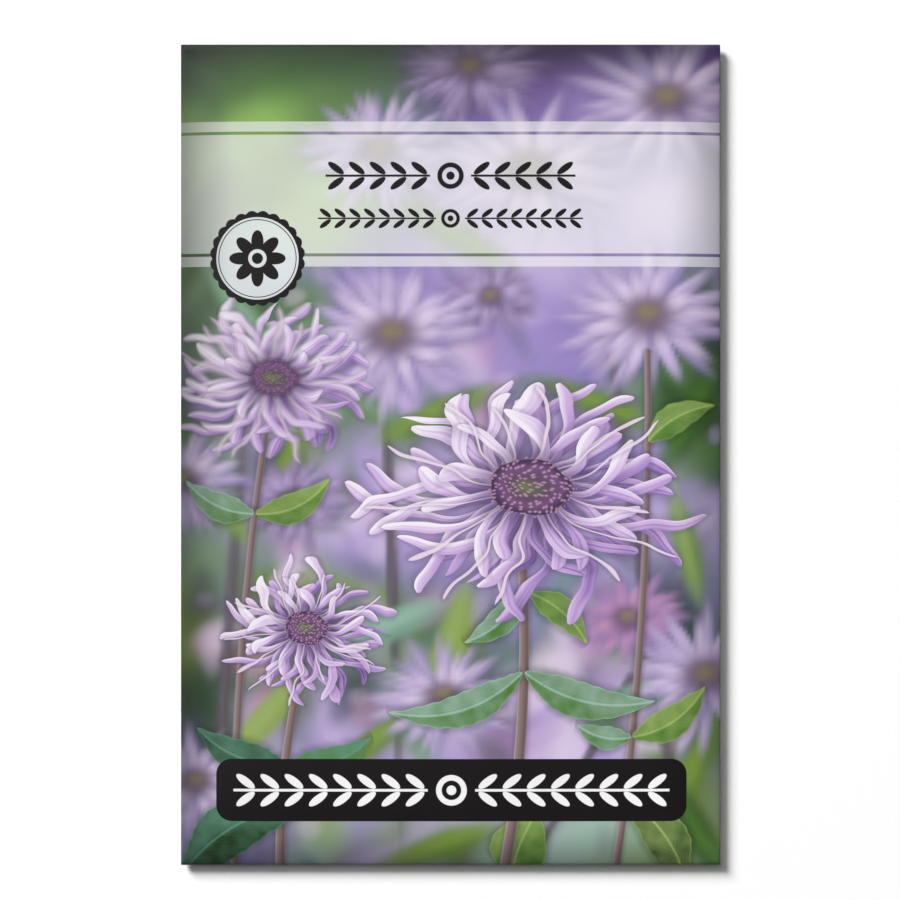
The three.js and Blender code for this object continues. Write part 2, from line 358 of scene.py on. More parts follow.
def solid_sheet(name, thickness):
    """A mesh of both sides of the sheet and its cut edges, with its flat places as a UV map."""
    points = np.concatenate(sheet.points)
    quads = np.concatenate(sheet.quads)
    finishes = np.concatenate(sheet.finishes)
    flat = np.tile(np.concatenate(sheet.flat), (2, 1))
    first, second, third, fourth = points[quads.T]
    across = np.cross(third - first, fourth - second)
    normals = np.zeros_like(points)
    for corner in range(4):
        np.add.at(normals, quads[:, corner], across)
    normals /= np.linalg.norm(normals, axis=1, keepdims=True)
    both_sides = np.concatenate([points + normals * thickness / 2, points - normals * thickness / 2])

    edges = np.concatenate([quads[:, [corner, (corner + 1) % 4]] for corner in range(4)])
    forwards = edges[:, 0] * len(points) + edges[:, 1]
    backwards = edges[:, 1] * len(points) + edges[:, 0]
    is_open = ~np.isin(forwards, backwards)
    start, end = edges[is_open].T
    rim_quads = np.stack([end, start, start + len(points), end + len(points)], -1)
    faces = np.concatenate([quads, quads[:, ::-1] + len(points), rim_quads])
    mesh = bpy.data.meshes.new(name)
    mesh.from_pydata((both_sides * mm).tolist(), [], faces.tolist())

    # The ends of the folds, at the corners, are inked like the front beside them
    is_inked = np.tile(finishes, 4)[is_open] == front_finish
    rim_finishes = np.where(is_inked, front_finish, bare_finish)
    all_finishes = np.concatenate([finishes, np.full(len(quads), bare_finish), rim_finishes])
    # The front's upper part has the same print, less the nearer flowers, which don't reach it
    face_y = flat[faces][:, :, 1].mean(1)
    all_finishes[(all_finishes == front_finish) & (face_y > flowers_top)] = above_finish
    mesh.polygons.foreach_set("material_index", all_finishes.astype(np.int32))
    mesh.polygons.foreach_set("use_smooth", np.ones(len(faces), bool))
    mesh.set_sharp_from_angle(angle=math.radians(sharp_crease))

    corners = flat[faces].reshape(-1, 2)
    mesh.uv_layers.new(name="Sheet").data.foreach_set("uv", (corners * mm).ravel())

    # The baked picture holds the printed side, and the bare side small in an empty corner of it
    bare_scale = 0.08
    low, high = flat.min(0), flat.max(0)
    spot = (corners - low) / (high - low).max()
    is_small = np.repeat((all_finishes == bare_finish) & (np.arange(len(faces)) >= len(quads)), 4)
    spot[is_small] *= bare_scale
    mesh.uv_layers.new(name="OFBake").data.foreach_set("uv", spot.ravel())
    return mesh, flat


envelope_mesh, envelope_flat = solid_sheet("envelope_paper", paper)
envelope = put("envelope_paper", envelope_mesh)

# The picture's ground
# The part of the printed picture that is out of focus: patches of leaf and lilac, and daisies
# and leaves that stand behind the nearer ones. It is held as an ink colour at each point of the
# sheet, built up in soft oval strokes.
paper_white = 0.825
picture_light = (0.8, 0.6, 0.0)


def ink(red, green, blue):
    """A printed colour, from the values that a screen would show for it."""
    share = np.array([red, green, blue]) / 255
    linear = np.where(share > 0.04045, ((share + 0.055) / 1.055) ** 2.4, share / 12.92)
    return linear * paper_white


deep_green = ink(40, 68, 38)
dull_green = ink(74, 102, 66)
pale_green = ink(162, 212, 104)
leaf_green = ink(80, 124, 48)
fresh_green = ink(134, 160, 66)
sea_green = ink(96, 148, 122)
grey_green = ink(132, 160, 124)
navy = ink(54, 58, 86)
slate = ink(108, 114, 138)
plum = ink(96, 74, 120)
grape = ink(102, 70, 142)
violet = ink(132, 117, 184)
mauve = ink(166, 147, 207)
lilac = ink(199, 179, 224)
pale_lilac = ink(231, 213, 240)
rose = ink(206, 152, 188)
blue_green = ink(160, 192, 176)
yellow_green = ink(158, 182, 104)
bark = ink(92, 70, 66)


def ramp(low, high, value):
    """0 below low and 1 above high, smooth between them."""
    share = np.clip((value - low) / (high - low), 0, 1)
    return share * share * (3 - 2 * share)


def facing(direction):
    """How far the left side of a direction faces the picture's light, at the upper left."""
    return picture_light[0] * direction[0] + picture_light[1] * direction[1]


class Painting:
    def __init__(self, flat, colour):
        self.x, self.y = flat.T
        self.colour = np.tile(colour, (len(flat), 1))

    def stroke(self, colour, x, y, length, width, turn, softness, strength):
        """An oval touch of colour whose rim is soft over that share of its size."""
        reach = max(length, width) * (1 + softness)
        near = np.flatnonzero(np.hypot(self.x - x, self.y - y) < reach)
        right, up = self.x[near] - x, self.y[near] - y
        along = right * math.cos(turn) + up * math.sin(turn)
        across = up * math.cos(turn) - right * math.sin(turn)
        out = np.hypot(along / length, across / width)
        share = strength * (1 - ramp(1 - softness, 1 + softness, out))
        self.colour[near] += share[:, None] * (colour - self.colour[near])

    def scatter(self, draw, count, area, colours, length, width, turn, softness, strength):
        """Strokes at random places in an area of left, bottom, right and top."""
        for _ in range(count):
            self.stroke(
                colours[draw.integers(len(colours))],
                draw.uniform(area[0], area[2]),
                draw.uniform(area[1], area[3]),
                draw.uniform(*length),
                draw.uniform(*width),
                math.radians(draw.uniform(*turn)),
                softness,
                draw.uniform(*strength),
            )

    def lit_stroke(self, x, y, length, width, turn, softness, deep, pale, tone):
        """A narrow round thing: a shade beside it, its colour, and a light on its lit side."""
        lit = facing((math.cos(turn), math.sin(turn)))
        side_x, side_y = -math.sin(turn) * lit * width, math.cos(turn) * lit * width
        self.stroke(deep * 0.6, x - side_x, y - side_y, length, width * 1.2, turn, 0.8, 0.3)
        self.stroke(deep + (pale - deep) * tone, x, y, length, width, turn, softness, 0.9)
        lit_x, lit_y = x + side_x * 0.4, y + side_y * 0.4
        self.stroke(pale, lit_x, lit_y, length * 0.8, width * 0.4, turn, 0.9, 0.6 * abs(lit))

    def daisy(self, draw, x, y, size, squash, softness, deep, pale):
        """A flower head out of focus, three rounds of rays and a dull middle."""
        for reach, count, tone in ((1.0, 16, 0.55), (0.86, 15, 0.75), (0.62, 11, 0.95)):
            for ray in draw.permutation(count):
                angle = math.tau * (ray + draw.uniform(-0.35, 0.35)) / count
                out = size * reach * draw.uniform(0.85, 1.1)
                self.lit_stroke(
                    x + out * 0.58 * math.cos(angle),
                    y + out * 0.58 * math.sin(angle) * squash,
                    out * 0.42,
                    max(size * 0.078, 0.8),
                    math.atan2(math.sin(angle) * squash, math.cos(angle)) + draw.uniform(-0.12, 0.12),
                    softness,
                    deep,
                    pale,
                    tone * draw.uniform(0.5, 1.0),
                )
        for colour, rise, length, width, rim, strength in (
            (plum * 0.7, 0.0, 0.33, 0.25, 0.6, 0.7),
            (ink(126, 104, 112), 0.04, 0.24, 0.17, 0.6, 0.8),
            (ink(142, 132, 92), 0.07, 0.12, 0.08, 0.7, 0.7),
        ):
            self.stroke(colour, x, y + size * rise, size * length, size * width, 0, rim, strength)

    def leaf(self, x, y, length, width, turn, softness, deep, pale):
        """A leaf from its middle, lighter on its lit half and along its midrib."""
        turn = math.radians(turn)
        self.lit_stroke(x, y, length, width, turn, softness, deep, pale, 0.35)
        self.stroke(pale, x, y, length * 0.85, 0.8, turn, 0.9, 0.45)


draw = np.random.default_rng(11)
picture = Painting(envelope_flat, violet)
for colour, x, y, length, width, turn in (
    (dull_green, -26, 61, 38, 13, 0),
    (leaf_green, -16, 58, 16, 9, 0),
    (pale_green, -32, 41, 22, 10, 0.1),
    (grape, 32, 60, 34, 13, 0),
    (mauve, 26, 40, 30, 12, 0),
    (grey_green, -38, 22, 12, 14, 0),
    (mauve, 6, 24, 34, 12, 0.3),
    (dull_green, -36, 0, 14, 10, 0),
    (grey_green, -36, -17, 14, 9, 0),
    (lilac, -10, 0, 22, 16, -0.3),
    (dull_green, 40, 8, 9, 16, 0),
    (lilac, 28, -14, 20, 12, 0.3),
    (plum, 42, 40, 6, 13, 0),
    (leaf_green, 38, -38, 14, 20, 0.4),
    (fresh_green, 36, -50, 8, 5, 0.4),
    (fresh_green, 26, -62, 24, 7, 0),
    (blue_green, 14, -59, 16, 5, 0),
    (leaf_green, -35, -34, 14, 14, 0),
    (leaf_green, -12, -28, 18, 8, 0),
    (lilac, -8, -42, 18, 8, 0),
    (rose, 20, -42, 12, 8, 0.3),
    (lilac, -12, -60, 22, 6, 0),
    (fresh_green, 0, -62, 10, 6, 0),
    (slate, -41, -58, 8, 12, 0),
    (fresh_green, -26, -61, 12, 5, 0),
):
    picture.stroke(colour, x, y, length, width, turn, 0.9, 0.9)
for count, area, colours, length, width, turn, softness, strength in (
    (46, (-42, -64, 42, 30), (violet, mauve, plum, slate), (5, 12), (3, 7), (20, 160), 0.8, (0.25, 0.5)),
    (
        22, (-42, 26, -6, 64), (dull_green, leaf_green, leaf_green),
        (5, 12), (3, 8), (0, 180), 0.8, (0.15, 0.4),
    ),
    (
        16, (-42, 30, -18, 50), (pale_green, pale_green, fresh_green),
        (3, 8), (2, 5), (0, 180), 0.8, (0.3, 0.6),
    ),
    (34, (-30, -16, 8, 16), (pale_lilac, rose, lilac), (2, 5), (1, 2.4), (20, 160), 0.6, (0.2, 0.5)),
    (10, (0, 52, 42, 64), (plum, grape, grape), (5, 12), (3, 8), (0, 180), 0.8, (0.3, 0.6)),
    (16, (0, 26, 36, 52), (pale_lilac, lilac, mauve), (5, 12), (3, 8), (0, 180), 0.8, (0.2, 0.5)),
    (
        34, (-42, -54, 42, -20), (leaf_green, deep_green, fresh_green, sea_green),
        (3, 9), (2, 4), (30, 150), 0.7, (0.4, 0.9),
    ),
    (14, (12, -50, 28, -32), (lilac, mauve, pale_lilac), (3, 7), (2, 4), (0, 180), 0.7, (0.4, 0.8)),
    (
        16, (-42, -64, 42, -54), (fresh_green, leaf_green, blue_green, lilac),
        (3, 8), (2, 4), (0, 180), 0.7, (0.3, 0.7),
    ),
    (
        22, (-42, -8, -18, 26), (grey_green, leaf_green, deep_green),
        (3, 8), (2, 4), (30, 150), 0.7, (0.4, 0.9),
    ),
    (
        16, (30, -4, 42, 26), (grey_green, leaf_green, deep_green),
        (3, 8), (2, 4), (30, 150), 0.7, (0.4, 0.9),
    ),
    (
        16, (-26, -20, 28, 20), (leaf_green, grey_green, fresh_green),
        (3, 6), (1.4, 2.6), (0, 180), 0.7, (0.3, 0.7),
    ),
    (
        70, (-38, -44, 38, 28), (lilac, pale_lilac, rose, mauve),
        (2, 6), (1.2, 2.8), (0, 180), 0.7, (0.3, 0.7),
    ),
    (40, (-42, -64, 42, 28), (pale_lilac, lilac), (0.9, 2.0), (0.9, 1.8), (0, 180), 0.5, (0.15, 0.45)),
    (24, (-42, -64, 42, 28), (plum, navy, deep_green), (2, 5), (0.8, 1.6), (0, 180), 0.8, (0.2, 0.5)),
):
    picture.scatter(draw, count, area, colours, length, width, turn, softness, strength)
for x, y, length, width, turn, softness in (
    (-34, -30, 36, 0.9, 86, 0.8),
    (30, -24, 44, 0.9, 98, 0.7),
    (22, -44, 26, 0.7, 62, 0.6),
    (-9, -16, 34, 0.8, 92, 0.5),
):
    picture.lit_stroke(x, y, length, width, math.radians(turn), softness, bark, slate, 0.2)
for x, y, length, width, turn, softness, deep, pale in (
    (-14, 8, 9, 2.2, 152, 0.45, leaf_green, grey_green),
    (-2, 6, 9, 2.2, 24, 0.45, leaf_green, fresh_green),
    (37, 6, 9, 2.4, 62, 0.5, deep_green, leaf_green),
    (22, 8, 8, 2.0, 158, 0.5, leaf_green, fresh_green),
    (-36, -6, 9, 2.4, 128, 0.4, leaf_green, yellow_green),
    (-25, -3, 8, 2.2, 70, 0.4, leaf_green, fresh_green),
    (38, -46, 9, 2.2, 70, 0.45, leaf_green, fresh_green),
    (20, -38, 7, 1.8, 140, 0.5, sea_green, grey_green),
    (-6, -40, 8, 2.2, 110, 0.5, sea_green, grey_green),
    (-12, -44, 7, 1.8, 40, 0.5, leaf_green, fresh_green),
    (-38, 34, 9, 2.6, 70, 0.6, deep_green, leaf_green),
    (0, 34, 9, 2.4, 150, 0.6, leaf_green, fresh_green),
    (38, -58, 9, 2.4, 120, 0.5, deep_green, leaf_green),
    (-2, -60, 9, 2.2, 20, 0.5, leaf_green, fresh_green),
    (-22, 14, 7, 1.7, 20, 0.4, leaf_green, yellow_green),
    (-32, 22, 8, 2.0, 130, 0.45, leaf_green, blue_green),
    (36, -14, 8, 2.0, 104, 0.45, leaf_green, yellow_green),
    (-28, -40, 8, 2.2, 48, 0.4, fresh_green, yellow_green),
    (0, -29, 9, 2.4, 74, 0.4, fresh_green, yellow_green),
    (-9, -26, 8, 2.2, 24, 0.4, sea_green, blue_green),
    (31, -36, 8, 1.8, 12, 0.4, sea_green, blue_green),
):
    picture.leaf(x, y, length, width, turn, softness, deep, pale)
for x, y, size, squash, softness, deep, pale in (
    (-24, -7, 8, 0.7, 0.7, plum, lilac),
    (27, -25, 8, 0.7, 0.75, violet, rose),
    (-1, -37, 10, 0.66, 0.7, violet, pale_lilac),
    (6, 24, 7, 0.7, 0.8, plum, lilac),
    (33, 54, 13, 0.7, 0.8, violet, pale_lilac),
    (-41, -4, 9, 0.8, 0.75, violet, pale_lilac),
    (3, 59, 10, 0.7, 0.9, plum, lilac),
    (12, 43, 14, 0.7, 0.75, violet, pale_lilac),
    (-11, 46, 11, 0.75, 0.55, violet, pale_lilac),
    (39, -34, 12, 0.8, 0.55, violet, pale_lilac),
    (-39, -50, 9, 0.8, 0.6, violet, pale_lilac),
    (30, 21, 13, 0.74, 0.55, violet, pale_lilac),
    (-9, 18, 13, 0.8, 0.5, violet, pale_lilac),
):
    picture.daisy(draw, x, y, size, squash, softness, deep, pale)

ground_inks = envelope_mesh.color_attributes.new("ground", "FLOAT_COLOR", "POINT")
full_inks = np.column_stack([picture.colour, np.ones(len(picture.colour))])
ground_inks.data.foreach_set("color", full_inks.ravel())


# The picture's nearer flowers
# Printed shapes drawn by formula on the sheet's own millimetres: rays, leaves and stems. Each
# kind is one node group, which lays its ink and a soft shade over the colour that comes in.
class Field:
    """A number, colour or place that varies over the sheet. Sums of fields lay out their nodes."""

    def __init__(self, socket):
        self.socket = socket
        self.tree = socket.id_data

    __add__ = lambda self, other: maths("ADD", self, other)
    __radd__ = lambda self, other: maths("ADD", other, self)
    __sub__ = lambda self, other: maths("SUBTRACT", self, other)
    __rsub__ = lambda self, other: maths("SUBTRACT", other, self)
    __mul__ = lambda self, other: maths("MULTIPLY", self, other)
    __rmul__ = lambda self, other: maths("MULTIPLY", other, self)
    __truediv__ = lambda self, other: maths("DIVIDE", self, other)
    __rtruediv__ = lambda self, other: maths("DIVIDE", other, self)
    __pow__ = lambda self, other: maths("POWER", self, other)
    __abs__ = lambda self: maths("ABSOLUTE", self)


def feed(socket, value):
    """Gives a socket a field, an ink or a constant."""
    if isinstance(value, Field):
        socket.id_data.links.new(value.socket, socket)
    else:
        socket.default_value = (*value, 1.0) if isinstance(value, np.ndarray) else value


def add_node(kind, values, **settings):
    """A node with its inputs fed in order, in the tree of the first field among them."""
    node = next(value.tree for value in values if isinstance(value, Field)).nodes.new(kind)
    for name, setting in settings.items():
        setattr(node, name, setting)
    for socket, value in zip(node.inputs, values):
        feed(socket, value)
    return node


def maths(operation, *values):
    return Field(add_node("ShaderNodeMath", values, operation=operation).outputs[0])


def vectors(operation, *values):
    node = add_node("ShaderNodeVectorMath", values, operation=operation)
    return Field(node.outputs["Value" if operation in ("LENGTH", "DOT_PRODUCT") else "Vector"])


def smooth(low, high, value, least=0.0, most=1.0):
    """From least at low to most at high, also where low is the larger one. It isn't clamped: the
    front's chain of nodes is so long that it came out black with clamped ranges in it."""
    values = value, low, high, least, most
    node = add_node("ShaderNodeMapRange", values, interpolation_type="SMOOTHSTEP", clamp=False)
    return Field(node.outputs[0])


def above(value, limit, softness=0.04):
    """0 under the limit and 1 over it."""
    return smooth(limit - softness, limit + softness, value)


def below(value, limit, softness=0.04):
    return above(value, limit, -softness)


def band(value, middle, half_width, softness=0.04):
    """1 near the middle value and 0 away from it."""
    return below(abs(value - middle), half_width, softness)


def mix(under, over, share):
    tree = next(value.tree for value in (share, under, over) if isinstance(value, Field))
    node = tree.nodes.new("ShaderNodeMix")
    node.data_type = "RGBA"
    feed(node.inputs["Factor"], share)
    feed(node.inputs[6], under)
    feed(node.inputs[7], over)
    return Field(node.outputs[2])


def parts(value):
    return [Field(output) for output in add_node("ShaderNodeSeparateXYZ", [value]).outputs]


def profile(value, points, smoothly=True):
    """A curve through the points, level before the first and after the last."""
    node = add_node("ShaderNodeFloatCurve", (1.0, value))
    node.mapping.use_clip = False
    line = node.mapping.curves[0]
    for position, level in points[1:-1]:
        line.points.new(position, level)
    for spot, place in zip(line.points, points):
        spot.location = place
        spot.handle_type = "AUTO" if smoothly else "VECTOR"
    node.mapping.update()
    return Field(node.outputs[0])


def shades(value, *stops):
    """A colour for each value: stops of a place from 0 to 1 and an ink."""
    node = add_node("ShaderNodeValToRGB", [value])
    line = node.color_ramp.elements
    for position, colour in stops[1:-1]:
        line.new(position)
    for element, (position, colour) in zip(line, stops):
        element.position = position
        element.color = (*colour, 1.0)
    return Field(node.outputs["Color"])


def shares(colour):
    """The red, green and blue of a colour as numbers. The front's long chain of nodes renders
    since noise colours are split like this before they serve as places."""
    return [Field(output) for output in add_node("ShaderNodeSeparateColor", [colour]).outputs]


def noise(place, scale, detail=1.0):
    node = add_node("ShaderNodeTexNoise", [place], noise_dimensions="2D")
    node.inputs["Scale"].default_value = scale
    node.inputs["Detail"].default_value = detail
    return Field(node.outputs["Fac"]), Field(node.outputs["Color"])


def cells(place, scale, **settings):
    """How far a place is from the middle of the nearest of many small cells."""
    node = add_node("ShaderNodeTexVoronoi", [place], **settings)
    node.inputs["Scale"].default_value = scale
    return Field(node.outputs["Distance"])


class Group:
    """A node group whose inputs are fields by name: numbers, places or colours."""

    kinds = {float: "NodeSocketFloat", tuple: "NodeSocketVector", np.ndarray: "NodeSocketColor"}

    def __init__(self, name, outputs, **inputs):
        self.tree = bpy.data.node_groups.new(name, "ShaderNodeTree")
        for title, default in inputs.items():
            kind = self.kinds[type(default)]
            feed(self.tree.interface.new_socket(title, in_out="INPUT", socket_type=kind), default)
        for title in outputs:
            kind = "NodeSocketColor" if title == "Colour" else "NodeSocketFloat"
            self.tree.interface.new_socket(title, in_out="OUTPUT", socket_type=kind)
        entry = self.tree.nodes.new("NodeGroupInput")
        self.fields = [Field(entry.outputs[title]) for title in inputs]

    def close(self, *results):
        leave = self.tree.nodes.new("NodeGroupOutput")
        for socket, value in zip(leave.inputs, results):
            feed(socket, value)

    def place(self, tree, **values):
        node = tree.nodes.new("ShaderNodeGroup")
        node.node_tree = self.tree
        for title, value in values.items():
            feed(node.inputs[title], value)
        results = [Field(output) for output in node.outputs]
        return results[0] if len(results) == 1 else results


origin = (0.0, 0.0, 0.0)

# One round of rays about a middle, each ray with its own length, lean and curl
rays = Group(
    "Round of rays", ["Mask", "Shade", "Light"],
    Radius=1.0, Turn=0.0, Facing=0.0, Count=12.0, Start=3.0, Length=14.0, Width=1.0, Twist=0.0, Seed=0.0,
    Softness=0.05,
)
radius, turn, lit, count, start, length, width, twist, seed, softness = rays.fields
twisted = maths("MULTIPLY_ADD", twist, radius, turn)
place = maths("FRACT", maths("MULTIPLY_ADD", seed, 0.37, twisted)) * count
cell = maths("FLOOR", place)
chance = rays.tree.nodes.new("ShaderNodeTexWhiteNoise")
chance.noise_dimensions = "1D"
feed(chance.inputs["W"], maths("MULTIPLY_ADD", seed, 50.0, cell))
# The spread and the least of a ray's own length, lean and curl
own_ranges = ((0.42, 0.68), (0.45, 0.275), (0.44, -0.22))
own_length, own_lean, own_curl = (
    maths("MULTIPLY_ADD", share, spread, least)
    for share, (spread, least) in zip(shares(Field(chance.outputs["Color"])), own_ranges)
)
from_start = radius - start
along = from_start / (length * own_length)
ray_outline = (
    (0.0, 0.4), (0.15, 0.5), (0.4, 0.62), (0.65, 0.92),
    (0.82, 1.02), (0.93, 0.78), (0.985, 0.0), (1.0, -0.4),
)
half = width * profile(along, ray_outline)
curl = own_curl * along * from_start
across = maths("MULTIPLY_ADD", (place - cell - own_lean) * radius, math.tau / count, curl)
edge = half - abs(across)
side = across / (half + 0.05)
groove = smooth(0.3, 0.0, abs(side), 0.0, 0.15)
streaks = maths("SINE", maths("MULTIPLY_ADD", side, 9.0, place))
light = maths("MULTIPLY_ADD", side, lit, maths("MULTIPLY_ADD", along, 0.36, own_length * 0.40))
rays.close(
    smooth(0 - softness, softness, edge),
    smooth(-1.6, 0.1, edge) * smooth(1.2, 0.95, along),
    maths("MULTIPLY_ADD", streaks, 0.045, light - groove),
)

# A whole daisy, with fine pale threads over its rays
petal_inks = (
    (0.0, ink(102, 76, 136)),
    (0.26, ink(162, 130, 195)),
    (0.50, ink(205, 174, 225)),
    (0.74, ink(229, 208, 240)),
    (1.0, ink(250, 242, 252)),
)
daisy = Group(
    "Daisy", ["Colour"],
    Under=violet, Spot=origin, Centre=origin, Scale=(1.0, 1.0, 1.0), Seed=0.0, Softness=0.05,
)
under, spot, centre, scale, seed, softness = daisy.fields
spot = vectors("MULTIPLY", vectors("SUBTRACT", spot, centre), scale)
drift = 3.4
mottle, wander = noise(spot, 0.13)
wander = shares(wander)
behind = parts(vectors("SUBTRACT", spot, (drift / 2, drift / 2, 0.0)))[:2]
x, y = (maths("MULTIPLY_ADD", share, drift, place) for share, place in zip(wander, behind))
spot = Field(add_node("ShaderNodeCombineXYZ", (x, y)).outputs[0])
radius = vectors("LENGTH", spot)
turn = maths("ARCTAN2", y, x) * (1 / math.tau)
ray_light = tuple(0.34 * share for share in picture_light)
lit = vectors("DOT_PRODUCT", spot, ray_light) / radius
over_all = vectors("DOT_PRODUCT", spot, (-0.008, 0.010, 0.0))
mottling = maths("MULTIPLY_ADD", mottle, 0.6, over_all - 0.41)
colour = under
for number, (count, start, length, width, twist, tone) in enumerate((
    (17, 3.2, 15.5, 0.86, 0.006, 0.00),
    (15, 3.2, 14.6, 0.90, -0.005, 0.11),
    (13, 2.8, 12.8, 0.92, 0.007, 0.20),
    (10, 2.4, 10.0, 0.86, -0.008, 0.26),
)):
    mask, shade, light = rays.place(
        daisy.tree, Radius=radius, Turn=turn, Facing=lit, Count=count, Start=start, Length=length,
        Width=width, Twist=twist, Seed=seed + number, Softness=softness,
    )
    colour = mix(colour, plum * 0.8, shade * 0.3)
    colour = mix(colour, shades(light + (mottling + tone), *petal_inks), mask)
thread, thread_shade, _ = rays.place(
    daisy.tree, Radius=radius, Turn=turn, Facing=lit, Count=13, Start=3.0, Length=14.5,
    Width=0.2, Seed=seed + 5.0, Softness=softness,
)
colour = mix(colour, plum, thread_shade * smooth(0.6, 1.0, thread_shade, 0.0, 0.3))
colour = mix(colour, ink(244, 226, 240), thread * 0.85)
disc_spot = vectors("SUBTRACT", spot, (0.0, 0.7, 0.0))
from_middle = vectors("LENGTH", disc_spot)
colour = mix(colour, plum * 0.8, smooth(7.8, 3.8, from_middle, 0.0, 0.6))
tip = smooth(0.42, 0.08, cells(disc_spot, 1.5, voronoi_dimensions="2D"))
button_inks = (
    (0.0, ink(112, 122, 78)), (0.35, ink(96, 78, 92)),
    (0.62, ink(118, 80, 126)), (0.84, ink(60, 44, 70)),
)
button = shades(from_middle * 0.2, *button_inks)
button = mix(button, ink(206, 160, 196), tip * (0.73 - softness * 0.7))
button_reach, button_rim = 4.2, 0.04
outer, inner = button_reach + button_rim + softness, button_reach - button_rim - softness
in_button = smooth(outer, inner, maths("MULTIPLY_ADD", tip, -0.5, from_middle))
daisy.close(mix(colour, button, in_button))


def within(value):
    return maths("MINIMUM", maths("MAXIMUM", value, 0.0), 1.0)


def bent_line(spot, base, direction, length, bend):
    """Millimetres along and across a bent line from its base, and the share of the way along."""
    from_base = vectors("SUBTRACT", spot, base)
    along = vectors("DOT_PRODUCT", from_base, direction)
    sideways = vectors("CROSS_PRODUCT", direction, from_base)
    share = within(along / length)
    across = maths("MULTIPLY_ADD", share * (1 - share), -4 * (bend * length), parts(sideways)[2])
    return along, across, share


# A leaf with a cut edge, a pale midrib and side veins
leaf = Group(
    "Leaf", ["Colour"],
    Under=violet, Spot=origin, Base=origin, Direction=(1.0, 0.0, 0.0), Facing=0.0,
    Length=16.0, Width=3.0, Bend=0.0, Softness=0.05, Deep=leaf_green, Pale=sea_green,
)
under, spot, base, direction, lit, length, width, bend, softness, deep, pale = leaf.fields
along, across, share = bent_line(spot, base, direction, length, bend)
leaf_outline = (
    (0.0, -2.0), (0.01, 0.08), (0.15, 0.62), (0.38, 1.0),
    (0.65, 0.78), (0.88, 0.3), (0.98, 0.02), (1.0, -2.0),
)
away = abs(across)
teeth = abs(maths("FRACT", (along + away) * 0.45) - 0.5)
half = maths("MULTIPLY_ADD", width, profile(share, leaf_outline), teeth * -0.35)
edge = half - away
side = across / (half + 0.1)
vein = abs(maths("FRACT", maths("MULTIPLY_ADD", away, -0.75, along * 0.55)) - 0.5)
veins = smooth(0.12, 0.0, vein) * (1 - abs(side))
fold = smooth(-0.25, 0.25, side, -0.2, 0.2)
rim = smooth(0.3, 0.0, edge, 0.0, 0.35)
midrib = smooth(0.26, 0.08, away, 0.0, 0.5)
cloud, _ = noise(spot, 0.35)
light = maths("MULTIPLY_ADD", share, 0.2, maths("MULTIPLY_ADD", cloud, 0.7, -0.1)) + rim + midrib
for part, amount in ((fold, lit), (vein, 0.14), (veins, 0.18)):
    light = maths("MULTIPLY_ADD", part, amount, light)
mask = smooth(0 - softness, softness, edge)
colour = mix(under, deep_green * 0.4, smooth(-1.4, 0.2, edge, 0.0, 0.4))
leaf.close(mix(colour, mix(deep, pale, light), mask))

# A stem, round and softly lit along its two sides
stem = Group(
    "Stem", ["Colour"],
    Under=violet, Spot=origin, Base=origin, Direction=(0.0, 1.0, 0.0), Facing=0.0,
    Length=30.0, Width=0.8, Bend=0.0, Softness=0.05, Deep=bark, Pale=ink(188, 168, 170),
)
under, spot, base, direction, lit, length, width, bend, softness, deep, pale = stem.fields
along, across, share = bent_line(spot, base, direction, length, bend)
stem_outline = ((0.0, -3.0), (0.004, 1.0), (0.5, 0.88), (0.99, 0.75), (1.0, -3.0))
half = width * profile(share, stem_outline, smoothly=False)
edge = half - abs(across)
side = across / half
light = maths("MULTIPLY_ADD", side * lit, 0.45, smooth(0.6, 1.0, abs(side), 0.3, 0.6))
colour = mix(under, plum * 0.5, smooth(-0.9, 0.1, edge, 0.0, 0.35))
stem.close(mix(colour, mix(deep, pale, light), smooth(0 - softness, softness, edge)))

# A line of leaves in pairs on a rule, with a ring at its middle, for the printed furniture
garland = Group("Garland", ["Mask"], X=0.0, Y=0.0, Reach=18.0)
x, y, reach = garland.fields
out, up = abs(x), abs(y)
leaf_pitch, leaf_rise, leaf_half_length, leaf_half_width = 2.6, 0.95, 1.2, 0.42
rule_half, ring_reach, ring_half, dot_reach = 0.14, 1.35, 0.3, 0.52
first_leaf = 2.55
step = (maths("FRACT", out / leaf_pitch) - 0.5) * leaf_pitch
rise = up - leaf_rise
leaf_along = maths("MULTIPLY_ADD", step, 0.8, rise * 0.6) / leaf_half_length
leaf_across = maths("MULTIPLY_ADD", rise, 0.8, step * -0.6) / leaf_half_width
leaves = below(leaf_along * leaf_along + leaf_across * leaf_across, 1.0, 0.1)
row = maths("MAXIMUM", leaves, below(up, rule_half, 0.03)) * below(out, reach, 0.03)
row = row * above(out, first_leaf, 0.05)
from_middle = maths("SQRT", x * x + y * y)
garland.close(row + band(from_middle, ring_reach, ring_half) + below(from_middle, dot_reach, 0.03))


def lay_garland(x, y, middle_y, scale, reach):
    """The mask of a garland at a height, with its parts that many times smaller."""
    return garland.place(x.tree, X=x * scale, Y=(y - middle_y) * scale, Reach=reach)


# The printed front
# Offset print on coated paper under a satin varnish. Over the picture lie pale see-through bands
# with two dark hairlines, a round seal with a scalloped rim, and a dark panel. Garlands stand
# where such packets carry their lines of lettering.
nearer_flowers = Group("Nearer flowers", ["Colour"], Under=violet, Spot=origin)
tree = nearer_flowers.tree
colour, spot = nearer_flowers.fields


def lay(part, under, base, turn, length, width, bend, softness, *inks):
    """A leaf or stem laid over the colour, from its base, turned by degrees from the right."""
    direction = (math.cos(math.radians(turn)), math.sin(math.radians(turn)), 0.0)
    return part.place(
        tree, Under=under, Spot=spot, Base=(*base, 0.0), Direction=direction, Facing=facing(direction),
        Length=length, Width=width, Bend=bend, Softness=softness, **dict(zip(("Deep", "Pale"), inks)),
    )


